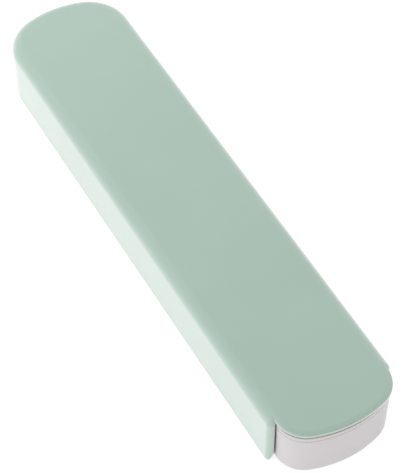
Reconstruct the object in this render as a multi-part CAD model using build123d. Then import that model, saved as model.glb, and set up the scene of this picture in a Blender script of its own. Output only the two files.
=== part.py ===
"""Slide-open toothbrush sanitizer case.

Frame: millimetres, +X towards the pull end, +Z up, origin on the resting surface below the
middle of the closed case. A mint cover slides towards -X off a white tray that holds the
brush, the ultraviolet lamp, the cell and the electronics.
"""
from build123d import *
from math import atan2, cos, pi, sin, sqrt
import os

# ---------------------------------------------------------------- driving dimensions
LENGTH = 218.0            # closed case, tip to tip
WIDTH = 47.0              # across the cover walls
HEIGHT = 24.1             # resting surface to the top of the cover

FAR_CORNER_R = 17.2       # plan radii of the cover's closed end
FAR_ARC_R = 38.2
NEAR_CORNER_R = 11.2      # plan radii of the tongue at the pull end
NEAR_ARC_R = 43.0
TOP_FILLET = 4.0          # soft edge round the cover's top
COVER_WALL = 2.3
COVER_PLATE = 1.7
COVER_BOTTOM = 0.8        # lower edge of the cover walls
WALL_END = 96.0           # where the side walls stop short of the tongue's tip
WALL_END_R = 2.0          # rounding of that wall end, over the side and the top
TONGUE_INSET = 2.2        # tongue edge, in from the wall's outer face
TONGUE_EDGE_R = 0.45      # rounding of the tongue's upper edge
LEAD_IN = (1.6, 3.2)      # relief inside the wall end's lower corner: depth, height
LEAD_IN_LENGTH = 5.0
LIP_REACH = 1.9           # retaining lip under the tray's side
LIP_THICK = 1.4

TRAY_GAP = 0.4            # cover wall to tray side
TRAY_FAR_GAP = 0.7        # cover wall to the tray's far tip
TRAY_BOTTOM = 0.5
TRAY_TOP = 20.9
TRAY_WALL = 1.8
TRAY_DRAFT = 1.0          # degrees that the lower shell narrows towards its bottom
TRAY_BOTTOM_R = 2.0
TRAY_NEAR_TIP = 108.6
TRAY_NEAR_CORNER = 10.7
TRAY_NEAR_ARC = 40.0
PARTING = 19.1            # joint line between the lower shell and the deck
EDGE_BREAK = 0.2          # broken edges at the joint line and round the deck

TROUGH_NEAR = 94.0        # brush trough, from the head pocket's near end ...
TROUGH_FAR = -96.0        # ... to the handle groove's far end
HEAD_LENGTH = 48.0
HEAD_WIDTH = 28.0
HEAD_FLOOR = 7.9
HANDLE_WIDTH = 17.0
HANDLE_FLOOR = 8.6
DECK_SKIN = 1.2
DECK_RIM_Y = 16.0         # the trough's opening in the deck lies inside this half width
SCOOP_X = -44.0           # finger scoop either side of the handle groove
SCOOP_RX = 14.0
SCOOP_RY = 14.5
SCOOP_FLOOR = 13.0

TRAVEL = 165.0            # how far the cover slides back
STOP_X = 90.0             # middle of the stop ribs inside the cover walls
STOP_LENGTH = 4.0
STOP_Z = (10.0, 12.6)
BUTTON_X = 27.0
BUTTON_Y = -14.4
BUTTON_TRAVEL = 0.5
BUTTON_TOP = TRAY_TOP - 0.4
SWITCH_TOP = 9.8
PLUNGER_TOP = SWITCH_TOP + 0.8
MAGNET_DEEP = 1.05
PIPE_X = 36.0

HALF = WIDTH / 2
FAR_TIP = -LENGTH / 2
NEAR_TIP = LENGTH / 2
PLATE_UNDER = HEIGHT - COVER_PLATE
CAVITY_HALF = HALF - COVER_WALL
TRAY_HALF = CAVITY_HALF - TRAY_GAP
TRAY_FAR_INSET = COVER_WALL + TRAY_FAR_GAP
TRAY_FAR_TIP = FAR_TIP + TRAY_FAR_INSET
TRAY_FLOOR = TRAY_BOTTOM + 1.8
HEAD_FAR = TROUGH_NEAR - HEAD_LENGTH
HEAD_X = TROUGH_NEAR - HEAD_LENGTH / 2
CHAMBER_FAR = HEAD_FAR - DECK_SKIN
LEDGE_TOP = 4.8           # thick foot of the tray wall, above the lip rebate
LEDGE_IN = 3.9            # how far in from the tray's outside it reaches

BOARD_Z = 4.0
BOARD_THICK = 1.0
BOARD_TOP = BOARD_Z + BOARD_THICK
BUTTON_BOARD_Z = 5.2
BUTTON_BOARD_TOP = BUTTON_BOARD_Z + BOARD_THICK
USB_Z = BOARD_TOP + 1.63
REED_X = 99.6
REED_Z = PARTING - 2.1

DECK_SCREWS = [(-84.0, 15.3), (8.0, 15.3), (98.8, 11.0)]
MAIN_BOARD = (-100.6, -58.0, 12.0)          # far x, near x, half width
BOARD_TAB = (-103.4, 5.8)                   # far x and half width of the tab under the socket
LAMP_BOARD = (50.0, 90.0, 11.0)
BUTTON_BOARD = (19.5, 44.0, -18.2, -10.6)   # far x, near x, low y, high y
MAIN_BOARD_SCREWS = [(-94.0, 9.5), (-94.0, -9.5), (-62.0, 9.5), (-62.0, -9.5)]
LAMP_BOARD_SCREWS = [(52.5, 8.5), (52.5, -8.5), (87.5, 8.5), (87.5, -8.5)]
BUTTON_BOARD_SCREWS = [(21.8, BUTTON_Y), (41.8, BUTTON_Y)]
CELL = (-50.0, 10.0, 10.0)                  # far x, near x, half width
CELL_Z = (2.7, 6.7)
LAMPS_X = [58.0, 66.0, 74.0, 82.0]
REST_X = [-78.0, 20.0]
FEET = [(-88.0, 9.5), (-88.0, -9.5), (84.0, 9.5), (84.0, -9.5)]


# ---------------------------------------------------------------- plan outlines
def rounded_end(tip, half, corner, arc, side):
    """Edges of one softly rounded end: corner arc, end arc, corner arc, from +Y to -Y."""
    end_centre = tip - side * arc
    corner_y = half - corner
    reach = sqrt((arc - corner) ** 2 - corner_y ** 2)
    corner_x = end_centre + side * reach
    lean = atan2(corner_y, reach)
    middle = (pi / 2 + lean) / 2

    def on_corner(angle, sign):
        return (corner_x + side * corner * cos(angle), sign * (corner_y + corner * sin(angle)))

    joint = (end_centre + side * arc * cos(lean), arc * sin(lean))
    edges = [
        ThreePointArc((corner_x, half), on_corner(middle, 1), joint),
        ThreePointArc(joint, (tip, 0), (joint[0], -joint[1])),
        ThreePointArc((joint[0], -joint[1]), on_corner(middle, -1), (corner_x, -half)),
    ]
    return edges, corner_x


def case_outline(half, far, near):
    """Long face with rounded ends; far and near are (tip, corner radius, arc radius)."""
    far_edges, far_x = rounded_end(far[0], half, far[1], far[2], -1)
    near_edges, near_x = rounded_end(near[0], half, near[1], near[2], 1)
    sides = [Line((far_x, half), (near_x, half)), Line((far_x, -half), (near_x, -half))]
    return Face(Wire(far_edges + near_edges + sides))


def cover_outline(inset=0.0):
    """Outline of the cover, with the pull end as if its side walls ran all the way round."""
    far = (FAR_TIP + inset, FAR_CORNER_R - inset, FAR_ARC_R - inset)
    grow = TONGUE_INSET - inset
    near = (NEAR_TIP + grow, NEAR_CORNER_R + grow, NEAR_ARC_R + grow)
    return case_outline(HALF - inset, far, near)


def tray_outline(inset=0.0):
    """Outline of the tray, the same in the lower shell and in the deck."""
    total = TRAY_FAR_INSET + inset
    far = (FAR_TIP + total, FAR_CORNER_R - total, FAR_ARC_R - total)
    near = (TRAY_NEAR_TIP - inset, TRAY_NEAR_CORNER - inset, TRAY_NEAR_ARC - inset)
    return case_outline(TRAY_HALF - inset, far, near)


# ---------------------------------------------------------------- small helpers
def prism(face, low, high):
    return extrude(Pos(0, 0, low) * face, amount=high - low, dir=(0, 0, 1))


def block(x, y, z):
    """Box between two limits on each axis."""
    size = [b - a for a, b in (x, y, z)]
    middle = [(a + b) / 2 for a, b in (x, y, z)]
    return Pos(*middle) * Box(*size)


def post(x, y, radius, low, high):
    return Pos(x, y, (low + high) / 2) * Cylinder(radius, high - low)


def top_edges(shape):
    return shape.edges().group_by(Axis.Z)[-1]


def bottom_edges(shape):
    return shape.edges().group_by(Axis.Z)[0]


def both_sides(points):
    return [(x, y * sign) for x, y in points for sign in (1, -1)]


def lead(points, radius, bends):
    """Round insulated wire along straight runs joined by tangent arcs."""
    path = FilletPolyline(*points, radius=bends)
    start = Plane(origin=path @ 0, z_dir=path % 0)
    return sweep(start * Circle(radius), path=path)


def save(name, shape):
    export_step(shape, f"parts/{name}.step")


# ---------------------------------------------------------------- cover
def slide_cover():
    """Cover: flat top, side walls, closed far end, tongue over the tray's pull end."""
    outer = prism(cover_outline(), COVER_BOTTOM, HEIGHT)
    outer = fillet(top_edges(outer), TOP_FILLET)

    walls = outer & block((FAR_TIP - 5, WALL_END), (-HALF - 1, HALF + 1), (0, HEIGHT + 1))
    end_edges = walls.edges().group_by(Axis.X)[-1]
    walls = fillet(end_edges.filter_by(lambda e: e.center().Z > COVER_BOTTOM + 0.1), WALL_END_R)
    tongue = outer & prism(cover_outline(TONGUE_INSET), PLATE_UNDER, HEIGHT + 1)
    rim = tongue.edges().filter_by(lambda e: PLATE_UNDER + 0.1 < e.center().Z < HEIGHT - 0.1)
    tongue = fillet(rim.filter_by(lambda e: abs(e @ 0 - e @ 1) > 2), TONGUE_EDGE_R)
    cover = walls + tongue

    far = (FAR_TIP + COVER_WALL, FAR_CORNER_R - COVER_WALL, FAR_ARC_R - COVER_WALL)
    mouth = (NEAR_TIP + 40, NEAR_CORNER_R, NEAR_ARC_R)
    cavity = prism(case_outline(CAVITY_HALF, far, mouth), -1, PLATE_UNDER)
    cover -= fillet(top_edges(cavity), 0.8)

    lip_far = FAR_TIP + FAR_CORNER_R + 2
    for side in (1, -1):
        y_lip = sorted((side * (CAVITY_HALF - LIP_REACH), side * (CAVITY_HALF + 0.5)))
        z_lip = (COVER_BOTTOM, COVER_BOTTOM + LIP_THICK)
        cover += block((lip_far, WALL_END - LEAD_IN_LENGTH), y_lip, z_lip)
        y_stop = sorted((side * (TRAY_HALF - 0.5), side * (CAVITY_HALF + 0.5)))
        cover += block((STOP_X - STOP_LENGTH / 2, STOP_X + STOP_LENGTH / 2), y_stop, STOP_Z)
        y_rib = sorted((side * (CAVITY_HALF - 0.3), side * (CAVITY_HALF + 0.5)))
        cover += block((lip_far, WALL_END - 6), y_rib, (15.6, 16.8))
        cover -= lead_in(side)

    cover -= block((HEAD_X - 22.2, HEAD_X + 22.2), (-12.2, 12.2), (PLATE_UNDER - 1, PLATE_UNDER + 0.5))
    cover -= post(REED_X, 0, 2.1, PLATE_UNDER - 1, PLATE_UNDER + MAGNET_DEEP)
    plug_way = extrude(Plane.YZ * RectangleRounded(13.2, 7.4, 3.2), amount=8, both=True)
    cover -= Pos(FAR_TIP, 0, USB_Z) * plug_way
    return cover


def lead_in(side):
    """Wedge cut from inside the wall end's lower corner, so that the tray enters easily."""
    inner = side * (CAVITY_HALF - 0.01)
    outer = side * (CAVITY_HALF + LEAD_IN[0])
    x_back = WALL_END - LEAD_IN_LENGTH
    corners = [(x_back, inner, COVER_BOTTOM - 1), (x_back, outer, COVER_BOTTOM - 1),
               (x_back, outer, COVER_BOTTOM), (x_back, inner, COVER_BOTTOM + LEAD_IN[1])]
    face = Face(Wire(Polyline(*corners, close=True).edges()))
    return extrude(face, amount=LEAD_IN_LENGTH + 1, dir=(1, 0, 0))


def mirror_plate():
    """Thin reflector let into the underside of the cover, above the brush head."""
    return block((HEAD_X - 22, HEAD_X + 22), (-12, 12), (PLATE_UNDER + 0.1, PLATE_UNDER + 0.5))


def cover_magnet():
    return post(REED_X, 0, 2.0, PLATE_UNDER + 0.05, PLATE_UNDER + MAGNET_DEEP)


# ---------------------------------------------------------------- tray: shell and deck
def base_shell():
    """Lower shell: an open tub with rebates for the cover's lips and grooves for its stops."""
    top = Pos(0, 0, PARTING) * tray_outline()
    shell = extrude(top, amount=PARTING - TRAY_BOTTOM, dir=(0, 0, -1), taper=TRAY_DRAFT)
    shell = fillet(bottom_edges(shell), TRAY_BOTTOM_R)
    shell = chamfer(top_edges(shell), EDGE_BREAK)
    shell -= prism(tray_outline(TRAY_WALL), LEDGE_TOP, PARTING + 1)
    shell -= prism(tray_outline(LEDGE_IN), TRAY_FLOOR, LEDGE_TOP)

    stop_play = STOP_LENGTH / 2 + 0.5
    for side in (1, -1):
        y_rebate = sorted((side * (CAVITY_HALF - LIP_REACH - 0.4), side * (TRAY_HALF + 1)))
        z_rebate = (0, COVER_BOTTOM + LIP_THICK + 0.4)
        shell -= block((TRAY_FAR_TIP - 5, WALL_END), y_rebate, z_rebate)
        y_groove = sorted((side * (TRAY_HALF - 0.9), side * (TRAY_HALF + 1)))
        x_groove = (STOP_X - TRAVEL - stop_play, STOP_X + stop_play)
        shell -= block(x_groove, y_groove, (STOP_Z[0] - 0.4, STOP_Z[1] + 0.4))

    for x, y in both_sides(DECK_SCREWS):
        shell += post(x, y, 2.9, TRAY_FLOOR - 0.5, LEDGE_TOP)
        shell -= post(x, y, 2.1, 0, 2.0)
        shell -= post(x, y, 1.15, 0, LEDGE_TOP + 1)
    for x, y in MAIN_BOARD_SCREWS + LAMP_BOARD_SCREWS:
        shell += post(x, y, 1.9, TRAY_FLOOR - 0.5, BOARD_Z)
        shell -= post(x, y, 0.75, TRAY_FLOOR - 0.6, BOARD_Z + 1)
    for x, y in BUTTON_BOARD_SCREWS:
        shell += post(x, y, 1.9, TRAY_FLOOR - 0.5, BUTTON_BOARD_Z)
        shell -= post(x, y, 0.75, TRAY_FLOOR, BUTTON_BOARD_Z + 1)
    for x, y in FEET:
        shell -= prism(Pos(x, y) * SlotOverall(14.4, 5.4), 0, TRAY_BOTTOM + 0.8)

    tab_room = BOARD_TAB[1] + 0.4
    shell -= block((BOARD_TAB[0] - 0.4, MAIN_BOARD[0] + 1), (-tab_room, tab_room), (BOARD_Z - 0.2, LEDGE_TOP))
    port = extrude(Plane.YZ * RectangleRounded(9.4, 3.7, 1.8), amount=4, both=True)
    shell -= Pos(TRAY_FAR_TIP, 0, USB_Z) * port
    return shell


def groove_face(grow=0.0):
    """Long round-ended outline of the handle groove, running into the head pocket."""
    far = TROUGH_FAR - grow
    half = HANDLE_WIDTH / 2 + grow
    length = HEAD_FAR + 4 - far
    face = Pos(far + length / 2, 0) * Rectangle(length, 2 * half)
    return fillet(face.vertices().group_by(Axis.X)[0], half - 0.1)


def pocket_face(grow=0.0):
    return Pos(HEAD_X, 0) * RectangleRounded(HEAD_LENGTH + 2 * grow, HEAD_WIDTH + 2 * grow, 7 + grow)


def scoop_face(grow=0.0):
    return Pos(SCOOP_X, 0) * Ellipse(SCOOP_RX + grow, SCOOP_RY + grow)


def trough_cut():
    """The whole space for the brush: handle groove, head pocket and finger scoop, rounded below."""
    groove = prism(groove_face(), HANDLE_FLOOR, HEIGHT)
    groove = fillet(bottom_edges(groove).filter_by(lambda e: e.center().X < HEAD_FAR), 3.0)
    pocket = fillet(bottom_edges(prism(pocket_face(), HEAD_FLOOR, HEIGHT)), 0.8)
    scoop = fillet(bottom_edges(prism(scoop_face(), SCOOP_FLOOR, HEIGHT)), 3.0)
    return groove + pocket + scoop


def inner_deck():
    """Deck: closes the lower shell, frames the trough and carries the screw posts."""
    deck = prism(tray_outline(), PARTING, TRAY_TOP)
    deck = fillet(top_edges(deck), EDGE_BREAK)
    deck = chamfer(bottom_edges(deck), EDGE_BREAK)
    deck -= prism(groove_face() + pocket_face() + scoop_face(), PARTING - 1, HEIGHT)
    rim = top_edges(deck).filter_by(lambda e: abs(e.center().Y) < DECK_RIM_Y)
    deck = fillet(rim.filter_by(lambda e: TROUGH_FAR - 1 < e.center().X < TROUGH_NEAR + 1), 0.5)

    skirt = prism(tray_outline(TRAY_WALL + 0.3), PARTING - 2.2, PARTING)
    deck += skirt - prism(tray_outline(TRAY_WALL + 1.4), PARTING - 3, PARTING)
    for x, y in both_sides(DECK_SCREWS):
        deck += post(x, y, 2.6, LEDGE_TOP, PARTING)
        deck -= post(x, y, 0.95, LEDGE_TOP - 1, 13.5)
    for y in (3.4, -3.4):
        clip = block((REED_X - 1.9, REED_X + 1.9), (y - 0.5, y + 0.5), (REED_Z - 0.6, PARTING))
        deck += clip - Pos(REED_X, y, REED_Z) * Rot(90, 0, 0) * Cylinder(1.1, 3)

    deck -= post(BUTTON_X, BUTTON_Y, 4.5, PARTING - 1, TRAY_TOP + 1)
    deck -= Pos(BUTTON_X, BUTTON_Y, TRAY_TOP - 0.25) * Cone(4.5, 5.2, 0.7)
    deck -= post(PIPE_X, BUTTON_Y, 1.4, PARTING - 1, TRAY_TOP + 1)
    return deck


def handle_channel():
    """Channel under the deck for the handle, with the finger scoop, up to the head chamber."""
    channel = prism(groove_face(DECK_SKIN), HANDLE_FLOOR - DECK_SKIN, PARTING)
    channel += prism(scoop_face(DECK_SKIN), SCOOP_FLOOR - DECK_SKIN, PARTING)
    channel -= block((CHAMBER_FAR, HEAD_X), (-HALF, HALF), (0, HEIGHT))
    return channel - trough_cut()


def head_chamber():
    """Box under the deck that the lamp lights: window seat in its floor, mouth for the neck."""
    chamber = prism(pocket_face(DECK_SKIN), HEAD_FLOOR - 1.7, PARTING) - trough_cut()
    chamber -= block((HEAD_X - 15, HEAD_X + 15), (-7, 7), (0, HEAD_FLOOR + 1))
    chamber -= block((HEAD_X - 17, HEAD_X + 17), (-9, 9), (HEAD_FLOOR - 1, HEAD_FLOOR + 1))
    return chamber


def rubber_feet():
    faces = [Pos(x, y) * SlotOverall(14.0, 5.0) for x, y in FEET]
    return Compound([fillet(bottom_edges(prism(f, 0, TRAY_BOTTOM + 0.8)), 0.3) for f in faces])


def screw(x, y, seat, head_r, head_h, shank_r, length, up):
    """Pan-head screw; up is +1 when its shank points up from the head, -1 when down."""
    head = post(x, y, head_r, *sorted((seat, seat - up * head_h)))
    crown = bottom_edges(head) if up > 0 else top_edges(head)
    head = fillet(crown, head_h * 0.35)
    tip = seat + up * length
    shank = post(x, y, shank_r, *sorted((seat, tip)))
    recess_top = seat - up * head_h
    slot = [recess_top - up * 0.1, recess_top + up * head_h * 0.6]
    body = head + shank
    body -= block((x - head_r * 0.6, x + head_r * 0.6), (y - 0.2, y + 0.2), sorted(slot))
    body -= block((x - 0.2, x + 0.2), (y - head_r * 0.6, y + head_r * 0.6), sorted(slot))
    return body


def deck_screws():
    """Six screws from below, through the lower shell, into the deck's posts."""
    return Compound([screw(x, y, 2.0, 1.8, 1.1, 0.9, 11.0, 1) for x, y in both_sides(DECK_SCREWS)])


def board_screws():
    low = [screw(x, y, BOARD_TOP, 1.4, 0.8, 0.65, 3.2, -1) for x, y in MAIN_BOARD_SCREWS + LAMP_BOARD_SCREWS]
    high = [screw(x, y, BUTTON_BOARD_TOP, 1.4, 0.8, 0.65, 3.6, -1) for x, y in BUTTON_BOARD_SCREWS]
    return Compound(low + high)


def brush_rest(x):
    """Soft cradle across the bottom of the handle groove."""
    rest = block((x - 3, x + 3), (-5.3, 5.3), (HANDLE_FLOOR, HANDLE_FLOOR + 2.6))
    rest -= Pos(x, 0, HANDLE_FLOOR + 8.8) * Rot(0, 90, 0) * Cylinder(7.4, 10)
    return fillet(top_edges(rest), 0.35)


# ---------------------------------------------------------------- lamp
def lamp_board():
    board = block(LAMP_BOARD[:2], (-LAMP_BOARD[2], LAMP_BOARD[2]), (BOARD_Z, BOARD_TOP))
    for x, y in LAMP_BOARD_SCREWS:
        board -= post(x, y, 0.85, BOARD_Z - 1, BOARD_TOP + 1)
    return board


def lamp_packages():
    return Compound([block((x - 1.75, x + 1.75), (-1.75, 1.75), (BOARD_TOP, BOARD_TOP + 1)) for x in LAMPS_X])


def lamp_lenses():
    base = BOARD_TOP + 1
    lenses = []
    for x in LAMPS_X:
        dome = Pos(x, 0, base - 0.8) * Sphere(1.5)
        lenses.append((dome & block((x - 2, x + 2), (-2, 2), (base, base + 2))).solid())
    return Compound(lenses)


def window_gasket():
    ring = block((HEAD_X - 16.8, HEAD_X + 16.8), (-8.8, 8.8), (HEAD_FLOOR - 1, HEAD_FLOOR - 0.7))
    return ring - block((HEAD_X - 15, HEAD_X + 15), (-7, 7), (0, HEAD_FLOOR))


def lamp_window():
    return block((HEAD_X - 16.8, HEAD_X + 16.8), (-8.8, 8.8), (HEAD_FLOOR - 0.7, HEAD_FLOOR))


def head_reflector():
    """Bright sheet liner of the head pocket: a floor with the lamp's opening, two sides."""
    x_liner = (HEAD_X - 15.5, HEAD_X + 15.5)
    outside = HEAD_WIDTH / 2 - 0.05
    liner = block(x_liner, (-outside + 0.9, outside - 0.9), (HEAD_FLOOR, HEAD_FLOOR + 0.4))
    for side in (1, -1):
        y_side = sorted((side * (outside - 0.4), side * outside))
        liner += block(x_liner, y_side, (HEAD_FLOOR + 1.2, TRAY_TOP - 1.6))
        y_slope = (side * (outside - 1.3), side * (outside - 0.4), side * outside, side * (outside - 0.9))
        z_slope = (HEAD_FLOOR + 0.4, HEAD_FLOOR + 1.2, HEAD_FLOOR + 1.2, HEAD_FLOOR)
        corner = Polyline(*[(x_liner[0], y, z) for y, z in zip(y_slope, z_slope)], close=True)
        liner += extrude(Face(Wire(corner.edges())), amount=x_liner[1] - x_liner[0], dir=(1, 0, 0))
    return liner - block((HEAD_X - 14, HEAD_X + 14), (-6.5, 6.5), (0, HEAD_FLOOR + 1))


# ---------------------------------------------------------------- electronics
def main_board():
    board = block(MAIN_BOARD[:2], (-MAIN_BOARD[2], MAIN_BOARD[2]), (BOARD_Z, BOARD_TOP))
    board = fillet(board.edges().filter_by(Axis.Z).group_by(Axis.X)[0], 6.0)
    board += block((BOARD_TAB[0], MAIN_BOARD[0] + 1), (-BOARD_TAB[1], BOARD_TAB[1]), (BOARD_Z, BOARD_TOP))
    for x, y in MAIN_BOARD_SCREWS:
        board -= post(x, y, 0.85, BOARD_Z - 1, BOARD_TOP + 1)
    return board


def usb_shell():
    """Metal shell of the charging socket, open towards -X."""
    x_front = TRAY_FAR_TIP + 0.4
    tube = Plane.YZ * RectangleRounded(8.94, 3.26, 1.6)
    bore = Plane.YZ * RectangleRounded(8.34, 2.66, 1.3)
    shell = extrude(tube, amount=7.3) - extrude(bore, amount=6.3)
    return Pos(x_front, 0, USB_Z) * shell


def usb_tongue():
    x_front = TRAY_FAR_TIP + 0.4
    return block((x_front + 0.9, x_front + 6.3), (-3.35, 3.35), (USB_Z - 0.35, USB_Z + 0.35))


def board_chips():
    spots = [(-90.0, 0.0, 2.5, 2.5, 0.9), (-80.0, 4.5, 2.0, 2.0, 0.8), (-80.0, -5.0, 3.2, 2.6, 1.1),
             (-70.0, -6.5, 1.5, 1.2, 1.0)]
    return Compound([
        block((x - a, x + a), (y - b, y + b), (BOARD_TOP, BOARD_TOP + h)) for x, y, a, b, h in spots
    ])


def boost_inductor():
    coil = block((-73.0, -67.0), (1.0, 7.0), (BOARD_TOP, BOARD_TOP + 2.0))
    return fillet(coil.edges().filter_by(Axis.Z), 1.2)


def cell_connector():
    return block((-66.5, -60.5), (-3.8, 3.8), (BOARD_TOP, BOARD_TOP + 2.2))


def cell():
    pouch = block(CELL[:2], (-CELL[2], CELL[2]), CELL_Z)
    return fillet(pouch.edges().filter_by(Axis.X), 1.4)


def cell_pad():
    return block((CELL[0] + 4, CELL[1] - 4), (-8.0, 8.0), (TRAY_FLOOR, CELL_Z[0]))


def cell_protector():
    return block((CELL[0] - 3.2, CELL[0]), (-8.5, 8.5), (3.2, 6.2))


def cell_lead(y):
    """Short lead from the cell's protector to the connector on the main board."""
    points = [(CELL[0] - 3.2, y, 4.4), (-55.4, y, 4.4), (-57.6, y, 6.1), (-60.5, y, 6.1)]
    return lead(points, 0.4, 1.5)


def lamp_lead(y_board, z_run):
    """Lead from the main board, past the cell, to the lamp board."""
    points = [(-64.5, y_board, 5.55), (-58.0, y_board, 5.55), (-53.5, 11.5, z_run), (40.0, 11.5, z_run),
              (47.0, y_board - 3, 5.55), (56.0, y_board - 3, 5.55)]
    return lead(points, 0.4, 3.5)


def button_leads():
    """Two leads from the main board to the button board."""
    wires = []
    for y_board, z_run, y_end in ((-7.6, 3.1, -11.4), (-6.0, 4.6, -12.8)):
        points = [(-65.5, y_board, 5.55), (-58.0, y_board, 5.55), (-53.5, -11.5, z_run), (10.0, -11.5, z_run),
                  (16.5, y_end, 6.75), (20.0, y_end, 6.75)]
        wires.append(lead(points, 0.4, 3.0))
    return Compound(wires)


def button_board():
    board = block(BUTTON_BOARD[:2], BUTTON_BOARD[2:], (BUTTON_BOARD_Z, BUTTON_BOARD_TOP))
    for x, y in BUTTON_BOARD_SCREWS:
        board -= post(x, y, 0.85, BUTTON_BOARD_Z - 1, BUTTON_BOARD_TOP + 1)
    return board


def switch_body():
    body = block((BUTTON_X - 3, BUTTON_X + 3), (BUTTON_Y - 3, BUTTON_Y + 3), (BUTTON_BOARD_TOP, SWITCH_TOP))
    depth = 1.0 + 2 * BUTTON_TRAVEL
    return body - post(BUTTON_X, BUTTON_Y, 1.8, SWITCH_TOP - depth, PLUNGER_TOP)


def switch_plunger():
    return post(BUTTON_X, BUTTON_Y, 1.7, SWITCH_TOP - 1.0, PLUNGER_TOP)


def power_button():
    """Round key with a stem down to the switch and two wings that keep it under the deck."""
    wing_top = PARTING - 0.15
    wing_low = wing_top - 0.95
    dish = 26.0
    key = post(BUTTON_X, BUTTON_Y, 4.2, wing_top, BUTTON_TOP)
    key = fillet(top_edges(key), 0.5)
    key -= Pos(BUTTON_X, BUTTON_Y, BUTTON_TOP - 0.25 + dish) * Sphere(dish)
    wings = block((BUTTON_X - 5.8, BUTTON_X + 5.8), (BUTTON_Y - 2.4, BUTTON_Y + 2.4), (wing_low, wing_top))
    return key + wings + post(BUTTON_X, BUTTON_Y, 1.6, PLUNGER_TOP, wing_low)


def status_led():
    return block((PIPE_X - 1.0, PIPE_X + 1.0), (BUTTON_Y - 0.8, BUTTON_Y + 0.8), (BUTTON_BOARD_TOP, 7.3))


def light_pipe():
    pipe = post(PIPE_X, BUTTON_Y, 1.3, 7.6, TRAY_TOP - 0.1)
    return pipe + post(PIPE_X, BUTTON_Y, 2.0, PARTING - 1.2, PARTING)


def reed_switch():
    return Pos(REED_X, 0, REED_Z) * Rot(90, 0, 0) * fillet(Cylinder(1.0, 10).edges(), 0.6)


def reed_leads():
    """Two leads from the magnet sensor under the deck down to the lamp board."""
    wires = []
    for side in (1, -1):
        points = [(REED_X, side * 5.0, REED_Z), (REED_X, side * 6.9, REED_Z), (REED_X, side * 6.9, 5.5),
                  (94.0, side * 6.9, 5.5), (88.0, side * 5.0, 5.5)]
        wires.append(lead(points, 0.3, [0.8, 2.0, 2.0]))
    return Compound(wires)


# ---------------------------------------------------------------- all pieces
def main():
    os.makedirs("parts", exist_ok=True)
    save("slide_cover", slide_cover())
    save("mirror_plate", mirror_plate())
    save("cover_magnet", cover_magnet())
    save("base_shell", base_shell())
    save("inner_deck", inner_deck())
    save("handle_channel", handle_channel())
    save("head_chamber", head_chamber())
    save("rubber_feet", rubber_feet())
    save("deck_screws", deck_screws())
    save("board_screws", board_screws())
    save("brush_rest_rear", brush_rest(REST_X[0]))
    save("brush_rest_front", brush_rest(REST_X[1]))
    save("lamp_board", lamp_board())
    save("lamp_packages", lamp_packages())
    save("lamp_lenses", lamp_lenses())
    save("window_gasket", window_gasket())
    save("lamp_window", lamp_window())
    save("head_reflector", head_reflector())
    save("main_board", main_board())
    save("usb_shell", usb_shell())
    save("usb_tongue", usb_tongue())
    save("board_chips", board_chips())
    save("boost_inductor", boost_inductor())
    save("cell_connector", cell_connector())
    save("battery_cell", cell())
    save("cell_pad", cell_pad())
    save("cell_protector", cell_protector())
    save("cell_lead_red", cell_lead(1.4))
    save("cell_lead_black", cell_lead(-1.4))
    save("lamp_lead_red", lamp_lead(7.6, 3.1))
    save("lamp_lead_black", lamp_lead(6.0, 4.6))
    save("button_leads", button_leads())
    save("button_board", button_board())
    save("switch_body", switch_body())
    save("switch_plunger", switch_plunger())
    save("power_button", power_button())
    save("status_led", status_led())
    save("light_pipe", light_pipe())
    save("reed_switch", reed_switch())
    save("reed_leads", reed_leads())


main()
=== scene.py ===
"""Looks of the slide-open toothbrush sanitizer case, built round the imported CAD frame."""
import math

import bpy
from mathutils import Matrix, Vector


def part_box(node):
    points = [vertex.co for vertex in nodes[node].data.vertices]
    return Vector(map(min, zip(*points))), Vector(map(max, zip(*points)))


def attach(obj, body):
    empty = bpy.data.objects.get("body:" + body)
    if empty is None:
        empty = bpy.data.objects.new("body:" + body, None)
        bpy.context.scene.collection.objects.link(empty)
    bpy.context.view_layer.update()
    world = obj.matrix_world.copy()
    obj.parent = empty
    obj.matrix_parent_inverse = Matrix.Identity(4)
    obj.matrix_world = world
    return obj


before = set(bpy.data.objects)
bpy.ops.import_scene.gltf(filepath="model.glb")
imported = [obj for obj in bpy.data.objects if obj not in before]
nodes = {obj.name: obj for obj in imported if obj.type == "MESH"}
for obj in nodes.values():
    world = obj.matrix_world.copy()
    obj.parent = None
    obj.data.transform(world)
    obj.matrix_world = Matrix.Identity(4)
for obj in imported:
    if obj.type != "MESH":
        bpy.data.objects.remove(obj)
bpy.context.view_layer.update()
scene = bpy.context.scene

MM = 0.001                # every length is in metres
MICRON = 1e-6
MASK_RAYS = 6             # rays by which the edge and gap masks feel the shape
NOISE_SPAN = (0.3, 0.7)   # most of a noise pattern lies between these


# ---------------------------------------------------------------- camera, light, floor
def aim(thing, place, ahead):
    """Put a camera or light at a place, looking along ahead."""
    thing.location = place
    thing.rotation_mode = "QUATERNION"
    thing.rotation_quaternion = ahead.to_track_quat("-Z", "Y")
    scene.collection.objects.link(thing)


def make_camera():
    """Long lens above the pull end's left corner, looking down along the case."""
    place = Vector((0.37202, -0.20289, 0.52817))
    yaw = 2.6319          # radians from +X towards +Y
    pitch = -0.894        # radians above the level
    ahead = Vector((math.cos(yaw) * math.cos(pitch), math.sin(yaw) * math.cos(pitch), math.sin(pitch)))
    data = bpy.data.cameras.new("camera")
    data.lens = 142.4
    data.sensor_width = 36.0
    data.clip_start = 0.01
    data.clip_end = 20.0
    camera = bpy.data.objects.new("camera", data)
    aim(camera, place, ahead)
    scene.camera = camera


def area_light(name, place, size, power):
    """Square softbox turned towards the middle of the case, without glare on glossy surfaces."""
    data = bpy.data.lights.new(name, "AREA")
    data.shape = "SQUARE"
    data.size = size
    data.energy = power
    light = bpy.data.objects.new(name, data)
    light.visible_glossy = False
    aim(light, Vector(place), -Vector(place))


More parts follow.
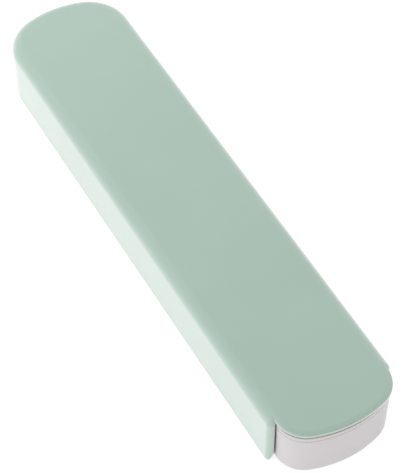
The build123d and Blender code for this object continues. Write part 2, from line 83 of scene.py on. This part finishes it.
def make_world():
    """Soft even white surround, a little dimmer straight overhead and dim beyond the pull end."""
    even = 0.97
    world = bpy.data.worlds.new("studio")
    world.use_nodes = True
    direction = add(world, "TexCoord", {}).outputs["Generated"]
    parts = add(world, "SeparateXYZ", {0: direction}).outputs
    beyond_pull_end = between(world, parts["X"], 0.75, 1.0, 0.0, -0.85)
    overhead = between(world, parts["Z"], 0.5, 1.0, 0.0, -0.30)
    strength = math_node(world, "ADD", math_node(world, "ADD", even, beyond_pull_end), overhead)
    background = world.node_tree.nodes["Background"].inputs
    background["Color"].default_value = (1, 1, 1, 1)
    world.node_tree.links.new(strength, background["Strength"])
    scene.world = world


def make_floor():
    """White light table: it glows, so the case stands on clean white with the faintest shadow."""
    half = 6.0
    corners = [(-half, -half, 0), (half, -half, 0), (half, half, 0), (-half, half, 0)]
    mesh = bpy.data.meshes.new("floor")
    mesh.from_pydata(corners, [], [(0, 1, 2, 3)])
    floor = bpy.data.objects.new("floor", mesh)
    scene.collection.objects.link(floor)
    mesh.materials.append(look("floor_table", (0.40, 0.40, 0.40), 0.9, Emission_Color=(1, 1, 1, 1),
                               Emission_Strength=0.77))


# ---------------------------------------------------------------- shader nodes
def shader(material):
    return material.node_tree.nodes["Principled BSDF"]


def look(name, color, roughness, **sockets):
    """Principled material; sockets are further fixed values, with _ for a space in the name."""
    material = bpy.data.materials.new(name)
    material.use_nodes = True
    inputs = shader(material).inputs
    inputs["Base Color"].default_value = (*color, 1)
    inputs["Roughness"].default_value = roughness
    for key, value in sockets.items():
        inputs[key.replace("_", " ")].default_value = value
    return material


def add(owner, kind, inputs, **settings):
    """New node in a material or world; inputs maps a socket's name or number to a value or socket."""
    tree = owner.node_tree
    node = tree.nodes.new("ShaderNode" + kind)
    for key, value in settings.items():
        setattr(node, key, value)
    for key, value in inputs.items():
        if isinstance(value, bpy.types.NodeSocket):
            tree.links.new(value, node.inputs[key])
        else:
            node.inputs[key].default_value = value
    return node


def feed(material, socket_name, source):
    """Drive one of the shader's sockets by another socket."""
    material.node_tree.links.new(source, shader(material).inputs[socket_name])


def math_node(owner, operation, first, second):
    """Result of one sum; each side is a number or a socket."""
    return add(owner, "Math", {0: first, 1: second}, operation=operation).outputs[0]


def between(owner, value, low, high, to_low, to_high):
    """Smooth change from to_low to to_high as value runs from low to high."""
    settings = {"Value": value, "From Min": low, "From Max": high, "To Min": to_low, "To Max": to_high}
    return add(owner, "MapRange", settings, interpolation_type="SMOOTHSTEP").outputs["Result"]


def shade(color, factor):
    return tuple(c * factor for c in color)


def blend_colors(material, factor, first, second):
    """Colour between first and second; each is a colour or a socket."""
    first_input, second_input = 6, 7      # the Mix node's colour sockets
    inputs = {0: factor}
    for index, value in ((first_input, first), (second_input, second)):
        inputs[index] = value if isinstance(value, bpy.types.NodeSocket) else (*value, 1)
    return add(material, "Mix", inputs, data_type="RGBA").outputs[2]


# ---------------------------------------------------------------- patterns and masks
def place_of(material, stretch=(1, 1, 1)):
    """Object coordinates in metres; a stretch under 1 draws patterns out along that axis."""
    coords = add(material, "TexCoord", {}).outputs["Object"]
    return add(material, "Mapping", {"Vector": coords, "Scale": stretch}).outputs["Vector"]


def noise(material, place, size, detail=2.0):
    """Noise whose features are about size across."""
    return add(material, "TexNoise", {"Vector": place, "Scale": 1 / size, "Detail": detail}).outputs["Fac"]


def cells(material, place, size):
    """Round cells about size across, 0 in the middle of each."""
    return add(material, "TexVoronoi", {"Vector": place, "Scale": 1 / size}).outputs["Distance"]


def edge_mask(material, radius):
    """1 along outer edges and corners, 0 on open surface."""
    gain = 3.0
    rounded = add(material, "Bevel", {"Radius": radius}, samples=MASK_RAYS).outputs["Normal"]
    true = add(material, "NewGeometry", {}).outputs["Normal"]
    match = add(material, "VectorMath", {0: rounded, 1: true}, operation="DOT_PRODUCT").outputs["Value"]
    gap = math_node(material, "SUBTRACT", 1.0, match)
    return add(material, "Math", {0: gap, 1: gain}, operation="MULTIPLY", use_clamp=True).outputs[0]


def gap_shade_mask(material, reach):
    """1 on open surface, falling in gaps and corners narrower than about reach; the mask for painted shade in
    gaps.
    """
    deep, free = 0.42, 0.80   # share of the rays that get away, inside a gap and on open surface
    away = add(material, "AmbientOcclusion", {"Distance": reach}, samples=MASK_RAYS).outputs["AO"]
    return between(material, away, deep, free, 0.0, 1.0)


# ---------------------------------------------------------------- what a pattern does to the surface
def bump(material, height, depth, strength=1.0, normal=None):
    """Bump of a depth in metres, on top of another normal if one is given."""
    inputs = {"Height": height, "Distance": depth, "Strength": strength}
    if normal is not None:
        inputs["Normal"] = normal
    return add(material, "Bump", inputs).outputs["Normal"]


def tint(material, pattern, color, low, high):
    """Base colour from low to high times color, as the pattern goes from 0 to 1."""
    feed(material, "Base Color", blend_colors(material, pattern, shade(color, low), shade(color, high)))


def roughen(material, pattern, low, high):
    """Roughness from low to high over the usual span of a noise pattern."""
    feed(material, "Roughness", between(material, pattern, *NOISE_SPAN, low, high))


def grained(material, place, size, depth, detail=2.0):
    """Fine bumps about size across and depth deep."""
    feed(material, "Normal", bump(material, noise(material, place, size, detail), depth))


# ---------------------------------------------------------------- plastics
def moulded(name, color, roughness, grain=0.22 * MM, **sockets):
    """Moulded plastic: spark-eroded grain, cloudy gloss, pale polished edges, painted shade darkening fine
    gaps.
    """
    material = look(name, color, roughness, **sockets)
    place = place_of(material)
    cloud = between(material, noise(material, place, 38 * MM, 3.0), 0.35, 0.65, 0, 1)
    cloudy = blend_colors(material, cloud, shade(color, 0.985), shade(color, 1.015))
    # painted shade: the colour falls to 0.42 of itself in gaps and corners narrower than 1.6 mm
    tone = blend_colors(material, gap_shade_mask(material, 1.6 * MM), shade(color, 0.42), cloudy)
    edges = edge_mask(material, 0.5 * MM)
    rubbed = math_node(material, "MULTIPLY", edges, 0.35)
    feed(material, "Base Color", blend_colors(material, rubbed, tone, shade(color, 1.12)))
    smear = noise(material, place, 9 * MM, 4.0)
    gloss = between(material, smear, *NOISE_SPAN, roughness - 0.045, roughness + 0.045)
    polish = math_node(material, "MULTIPLY", edges, 0.06)
    feed(material, "Roughness", math_node(material, "SUBTRACT", gloss, polish))
    wavy = bump(material, noise(material, place, 14 * MM, 1.0), 25 * MICRON, 0.35)
    feed(material, "Normal", bump(material, noise(material, place, grain), 4 * MICRON, 0.8, wavy))
    return material


def soft_rubber(name, color, roughness):
    """Matt elastomer: pale dusty patches over a fine open grain."""
    material = look(name, color, roughness, Sheen_Weight=0.25, Sheen_Roughness=0.5)
    place = place_of(material)
    dust = noise(material, place, 3.5 * MM, 5.0)
    tint(material, between(material, dust, 0.4, 0.75, 0, 1), color, 1.0, 1.35)
    roughen(material, dust, roughness - 0.08, roughness + 0.08)
    grained(material, place, 0.16 * MM, 9 * MICRON, 3.0)
    return material


def silicone():
    """Milky silicone: light gets in a little way, and the skin is cloudy and finely grained."""
    color = (0.74, 0.79, 0.77)
    material = look("silicone_rest", color, 0.5, Subsurface_Weight=0.6, Subsurface_Scale=1.2 * MM,
                    Subsurface_Radius=(1.0, 0.8, 0.7), Coat_Weight=0.1, Coat_Roughness=0.4)
    place = place_of(material)
    cloud = noise(material, place, 5 * MM, 3.0)
    tint(material, cloud, color, 0.94, 1.05)
    roughen(material, cloud, 0.42, 0.58)
    grained(material, place, 0.2 * MM, 5 * MICRON)
    return material


def epoxy_black(name, color=(0.018, 0.018, 0.020)):
    """Chip moulding compound: almost black, with a sandy skin and worn pale corners."""
    material = look(name, color, 0.48, Specular_IOR_Level=0.45)
    sand = noise(material, place_of(material), 0.09 * MM, 4.0)
    sandy = blend_colors(material, sand, shade(color, 0.7), shade(color, 1.5))
    edges = edge_mask(material, 0.12 * MM)
    feed(material, "Base Color", blend_colors(material, edges, sandy, shade(color, 4.0)))
    roughen(material, sand, 0.4, 0.58)
    feed(material, "Normal", bump(material, sand, 6 * MICRON))
    return material


def insulated_wire(name, color):
    """PVC insulation: soft gloss, thin dull streaks along the lead."""
    material = look(name, color, 0.35, Coat_Weight=0.25, Coat_Roughness=0.25)
    place = place_of(material, (0.15, 1, 1))
    streak = noise(material, place, 0.5 * MM, 3.0)
    tint(material, streak, color, 0.8, 1.15)
    roughen(material, streak, 0.28, 0.45)
    grained(material, place, 0.25 * MM, 5 * MICRON)
    return material


def foam():
    """Open-cell foam tape, dark, with pores whose middles carry painted shade."""
    color = (0.06, 0.06, 0.065)
    material = look("foam_tape", color, 0.95)
    pores = cells(material, place_of(material), 0.35 * MM)
    # painted shade: darker in each pore's middle, paler towards its rim
    tint(material, pores, color, 0.4, 1.9)
    feed(material, "Normal", bump(material, pores, 60 * MICRON))
    return material


def amber_film():
    """Polyimide tape over the cell's protector: amber, glossy, with small wrinkles."""
    color = (0.56, 0.27, 0.05)
    material = look("amber_film", color, 0.22, Coat_Weight=0.6, Coat_Roughness=0.12)
    wrinkle = noise(material, place_of(material, (1, 0.35, 1)), 2.2 * MM, 3.0)
    tint(material, wrinkle, color, 0.75, 1.2)
    roughen(material, wrinkle, 0.16, 0.32)
    feed(material, "Normal", bump(material, wrinkle, 60 * MICRON))
    return material


# ---------------------------------------------------------------- metals
def turned_metal(name, color, roughness, stretch=(1, 1, 1), line=0.05 * MM):
    """Metal with fine tool marks, drawn out where stretch says so, smudges and brighter edges."""
    material = look(name, color, roughness, Metallic=1.0)
    lines = noise(material, place_of(material, stretch), line)
    smudge = noise(material, place_of(material), 2.4 * MM, 4.0)
    tone = blend_colors(material, smudge, shade(color, 0.86), shade(color, 1.04))
    edges = edge_mask(material, 0.12 * MM)
    feed(material, "Base Color", blend_colors(material, edges, tone, shade(color, 1.2)))
    marks = between(material, lines, *NOISE_SPAN, -0.06, 0.06)
    smears = between(material, smudge, 0.35, 0.7, roughness - 0.05, roughness + 0.08)
    feed(material, "Roughness", math_node(material, "ADD", marks, smears))
    feed(material, "Normal", bump(material, lines, 2.5 * MICRON))
    return material


def reflector_sheet():
    """Bright rolled aluminium: a mirror softened by rolling lines and faint fingerprints."""
    color = (0.86, 0.87, 0.89)
    material = look("reflector_sheet", color, 0.14, Metallic=1.0)
    rolled = noise(material, place_of(material, (0.04, 1, 1)), 0.12 * MM)
    smudge = noise(material, place_of(material), 6 * MM, 5.0)
    tint(material, smudge, color, 0.93, 1.03)
    marks = between(material, rolled, *NOISE_SPAN, -0.03, 0.05)
    smears = between(material, smudge, 0.45, 0.7, 0.12, 0.24)
    feed(material, "Roughness", math_node(material, "ADD", marks, smears))
    feed(material, "Normal", bump(material, rolled, 1.5 * MICRON))
    return material


def cell_foil():
    """Laminated pouch foil: pressed aluminium under a thin clear nylon skin."""
    color = (0.62, 0.63, 0.65)
    material = look("cell_foil", color, 0.34, Metallic=0.9, Coat_Weight=0.35, Coat_Roughness=0.2)
    place = place_of(material)
    crease = noise(material, place, 7 * MM, 5.0)
    tint(material, crease, color, 0.88, 1.08)
    roughen(material, crease, 0.28, 0.42)
    creased = bump(material, crease, 120 * MICRON, 0.6)
    feed(material, "Normal", bump(material, cells(material, place, 0.6 * MM), 6 * MICRON, 1.0, creased))
    return material


# ---------------------------------------------------------------- glass, ceramic, boards
def clear(name, color, ior, roughness, grain, through=1.0):
    """Clear or, with a lower through, milky body with a trace of haze and fine polishing marks."""
    material = look(name, color, roughness, Transmission_Weight=through, IOR=ior)
    place = place_of(material)
    haze = noise(material, place, 4 * MM, 4.0)
    feed(material, "Roughness", between(material, haze, 0.45, 0.75, roughness, roughness + 0.06))
    grained(material, place, grain, 0.8 * MICRON)
    tint(material, haze, color, 1.0, 0.97)
    return material


def ceramic():
    """White fired ceramic, faintly speckled, under a thin glaze."""
    color = (0.80, 0.79, 0.75)
    material = look("lamp_ceramic", color, 0.38, Coat_Weight=0.15, Coat_Roughness=0.2)
    speck = noise(material, place_of(material), 0.18 * MM, 4.0)
    tint(material, speck, color, 0.93, 1.05)
    roughen(material, speck, 0.3, 0.46)
    feed(material, "Normal", bump(material, speck, 3 * MICRON))
    return material


def lamp_die():
    """Bare emitter chip: violet grey, glassy and faintly mottled."""
    material = look("lamp_die", (0.20, 0.22, 0.34), 0.16, Coat_Weight=1.0, Coat_Roughness=0.04, Metallic=0.35)
    mottle = noise(material, place_of(material), 0.15 * MM)
    feed(material, "Base Color", blend_colors(material, mottle, (0.13, 0.14, 0.25), (0.30, 0.32, 0.44)))
    return material


def circuit_board():
    """Green solder mask with copper tracks under it, running along and across the board."""
    mask = (0.012, 0.115, 0.050)
    track = (0.045, 0.230, 0.100)
    material = look("board_green", mask, 0.3, Coat_Weight=0.5, Coat_Roughness=0.12)
    place = place_of(material)
    layout = {"Scale": 1.0, "Mortar Size": 0.16 * MM, "Brick Width": 7.0 * MM, "Row Height": 1.3 * MM,
              "Mortar Smooth": 0.1}
    lines = add(material, "TexBrick", {"Vector": place, **layout}, offset=0.37).outputs["Fac"]
    patches = between(material, noise(material, place, 9 * MM, 1.0), 0.42, 0.5, 0, 1)
    tracks = math_node(material, "MULTIPLY", lines, patches)
    cloud = noise(material, place, 3 * MM, 4.0)
    base = blend_colors(material, cloud, shade(mask, 0.85), shade(mask, 1.2))
    feed(material, "Base Color", blend_colors(material, tracks, base, track))
    roughen(material, cloud, 0.24, 0.38)
    feed(material, "Normal", bump(material, tracks, 18 * MICRON, 0.8))
    return material


# ---------------------------------------------------------------- finishes of the CAD nodes
def give(material, *names):
    """The named CAD nodes wear this material."""
    for name in names:
        slots = nodes[name].data.materials
        slots.clear()
        slots.append(material)


def dress_outside():
    """Cover, tray, feet, screws, brush rests and key."""
    mint = (0.334, 0.466, 0.391)
    white = (0.585, 0.558, 0.566)
    give(moulded("mint_shell", mint, 0.40, Coat_Weight=1.0, Coat_Roughness=0.3, Coat_IOR=1.7,
                 Sheen_Weight=1.0, Sheen_Roughness=0.4), "slide_cover")
    give(moulded("mint_key", shade(mint, 0.93), 0.36, grain=0.15 * MM, Coat_Weight=0.3,
                 Coat_Roughness=0.2), "power_button")
    give(moulded("white_shell", white, 0.42, Coat_Weight=0.12, Coat_Roughness=0.3),
         "base_shell", "inner_deck")
    give(moulded("white_channel", shade(white, 1.04), 0.34, grain=0.3 * MM), "handle_channel", "head_chamber")
    give(soft_rubber("foot_rubber", (0.27, 0.28, 0.28), 0.8), "rubber_feet")
    give(soft_rubber("gasket_rubber", (0.05, 0.05, 0.055), 0.7), "window_gasket")
    give(silicone(), "brush_rest_rear", "brush_rest_front")
    give(turned_metal("screw_steel", (0.58, 0.57, 0.56), 0.34), "deck_screws", "board_screws")
    give(turned_metal("socket_steel", (0.66, 0.66, 0.67), 0.28, (0.08, 1, 1)), "usb_shell")
    give(turned_metal("nickel_plate", (0.62, 0.60, 0.56), 0.2), "cover_magnet")
    give(reflector_sheet(), "head_reflector", "mirror_plate")


def dress_inside():
    """Lamp, boards and their parts, cell and leads."""
    give(circuit_board(), "lamp_board", "main_board", "button_board")
    give(ceramic(), "lamp_packages", "status_led")
    give(clear("quartz", (0.985, 0.99, 1.0), 1.46, 0.0, 0.5 * MM), "lamp_lenses", "lamp_window")
    give(clear("reed_glass", (0.88, 0.97, 0.93), 1.5, 0.03, 0.5 * MM), "reed_switch")
    give(clear("light_guide", (0.88, 0.90, 0.89), 1.49, 0.30, 0.2 * MM, through=0.25), "light_pipe")
    give(epoxy_black("chip_epoxy"), "board_chips", "switch_body", "usb_tongue")
    give(epoxy_black("ferrite", (0.035, 0.033, 0.032)), "boost_inductor")
    give(moulded("nylon_white", (0.72, 0.70, 0.63), 0.45, grain=0.1 * MM), "cell_connector", "switch_plunger")
    give(cell_foil(), "battery_cell")
    give(foam(), "cell_pad")
    give(amber_film(), "cell_protector")
    give(insulated_wire("wire_red", (0.42, 0.012, 0.010)), "cell_lead_red", "lamp_lead_red")
    give(insulated_wire("wire_black", (0.012, 0.012, 0.013)),
         "cell_lead_black", "lamp_lead_black", "button_leads", "reed_leads")


# ---------------------------------------------------------------- small pieces the CAD leaves plain
def tablet(middle, half, low, high, corner, bevel):
    """Low block, rounded in plan, with its upper edge bevelled: (points, faces)."""
    steps = 4             # straight stretches to each rounded corner
    outline = []
    for quarter in range(4):
        side_x = 1 if quarter in (0, 3) else -1
        side_y = 1 if quarter in (0, 1) else -1
        for step in range(steps + 1):
            angle = (quarter + step / steps) * math.pi / 2
            outline.append((side_x * (half[0] - corner) + corner * math.cos(angle),
                            side_y * (half[1] - corner) + corner * math.sin(angle)))
    points = []
    for z, inset in ((low, 0), (high - bevel, 0), (high, bevel)):
        shrink = (1 - inset / half[0], 1 - inset / half[1])
        points += [(middle[0] + x * shrink[0], middle[1] + y * shrink[1], z) for x, y in outline]
    count = len(outline)
    faces = [tuple(reversed(range(count))), tuple(range(2 * count, 3 * count))]
    for ring in (0, count):
        for index in range(count):
            following = (index + 1) % count
            faces.append((ring + index, ring + following, ring + count + following, ring + count + index))
    return points, faces


def piece(name, blocks, material):
    """One object made of several tablets, riding on the base."""
    points = []
    faces = []
    for block_points, block_faces in blocks:
        start = len(points)
        points += block_points
        faces += [tuple(start + index for index in face) for face in block_faces]
    mesh = bpy.data.meshes.new(name)
    mesh.from_pydata(points, [], faces)
    mesh.materials.append(material)
    thing = bpy.data.objects.new(name, mesh)
    scene.collection.objects.link(thing)
    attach(thing, "base")


def lamp_emitters(middles, top):
    """Under each lamp's lens, a die on a gold pad."""
    pad_half = (0.95 * MM, 0.95 * MM)
    die_half = (0.5 * MM, 0.5 * MM)
    pad_top = top + 0.03 * MM
    die_top = top + 0.2 * MM
    gold = turned_metal("gold_plate", (0.80, 0.56, 0.24), 0.24)
    pads = [tablet(spot, pad_half, top, pad_top, 0.2 * MM, 0.01 * MM) for spot in middles]
    dies = [tablet(spot, die_half, pad_top, die_top, 0.05 * MM, 0.03 * MM) for spot in middles]
    piece("lamp_gold_pads", pads, gold)
    piece("lamp_dies", dies, lamp_die())


def solder_pads(spot, side, board):
    """Tinned pads along both sides of one lamp."""
    half = (1.5 * MM, 0.25 * MM)
    top = board + 0.25 * MM
    return [tablet((spot[0], spot[1] + sign * (side / 2 + half[1])), half, board, top, 0.15 * MM, 0.12 * MM)
            for sign in (-1, 1)]


def resistor_body(spot, board):
    return tablet(spot, (0.55 * MM, 0.40 * MM), board, board + 0.45 * MM, 0.04 * MM, 0.03 * MM)


def resistor_ends(spot, board):
    """Tinned caps on both ends of one chip resistor."""
    half = (0.17 * MM, 0.41 * MM)
    top = board + 0.46 * MM
    return [tablet((spot[0] + sign * 0.70 * MM, spot[1]), half, board, top, 0.05 * MM, 0.04 * MM)
            for sign in (-1, 1)]


def lamp_details():
    """What shows through the window: dies on gold under the lenses, tinned pads, chip resistors."""
    low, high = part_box("lamp_packages")
    board = low[2]
    side = high[1] - low[1]
    middle_y = (low[1] + high[1]) / 2
    pitch = (high[0] - low[0] - side) / 3
    middles = [(low[0] + side / 2 + index * pitch, middle_y) for index in range(4)]
    lamp_emitters(middles, high[2])

    row_y = 3.4 * MM      # from the lamps' line to each row of resistors
    between_lamps = [(x + pitch / 2, y + side_y) for x, y in middles[:3] for side_y in (-row_y, row_y)]
    tinned = []
    for spot in middles:
        tinned += solder_pads(spot, side, board)
    for spot in between_lamps:
        tinned += resistor_ends(spot, board)
    tin = turned_metal("solder", (0.62, 0.62, 0.61), 0.3, line=0.2 * MM)
    piece("lamp_solder_pads", tinned, tin)
    bodies = [resistor_body(spot, board) for spot in between_lamps]
    piece("lamp_resistors", bodies, epoxy_black("resistor_body"))


def usb_contacts():
    """Twelve gold contacts above and twelve below the socket's tongue."""
    low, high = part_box("usb_tongue")
    count = 12
    pitch = 0.5 * MM
    film = 0.03 * MM
    half = (1.7 * MM, 0.14 * MM)
    middle_x = low[0] + 2.2 * MM
    contacts = []
    for index in range(count):
        spot = (middle_x, (index - (count - 1) / 2) * pitch)
        contacts.append(tablet(spot, half, high[2], high[2] + film, 0.05 * MM, 0.01 * MM))
        contacts.append(tablet(spot, half, low[2] - film, low[2], 0.05 * MM, 0.0))
    piece("usb_contacts", contacts, turned_metal("contact_gold", (0.82, 0.60, 0.28), 0.22))


make_camera()
make_world()
area_light("far_softbox", (-0.25, -0.05, 0.35), size=0.3, power=0.50)
area_light("left_softbox", (0.25, -0.95, 0.30), size=0.6, power=1.4)
make_floor()
dress_outside()
dress_inside()
lamp_details()
usb_contacts()
scene.view_settings.view_transform = "Standard"
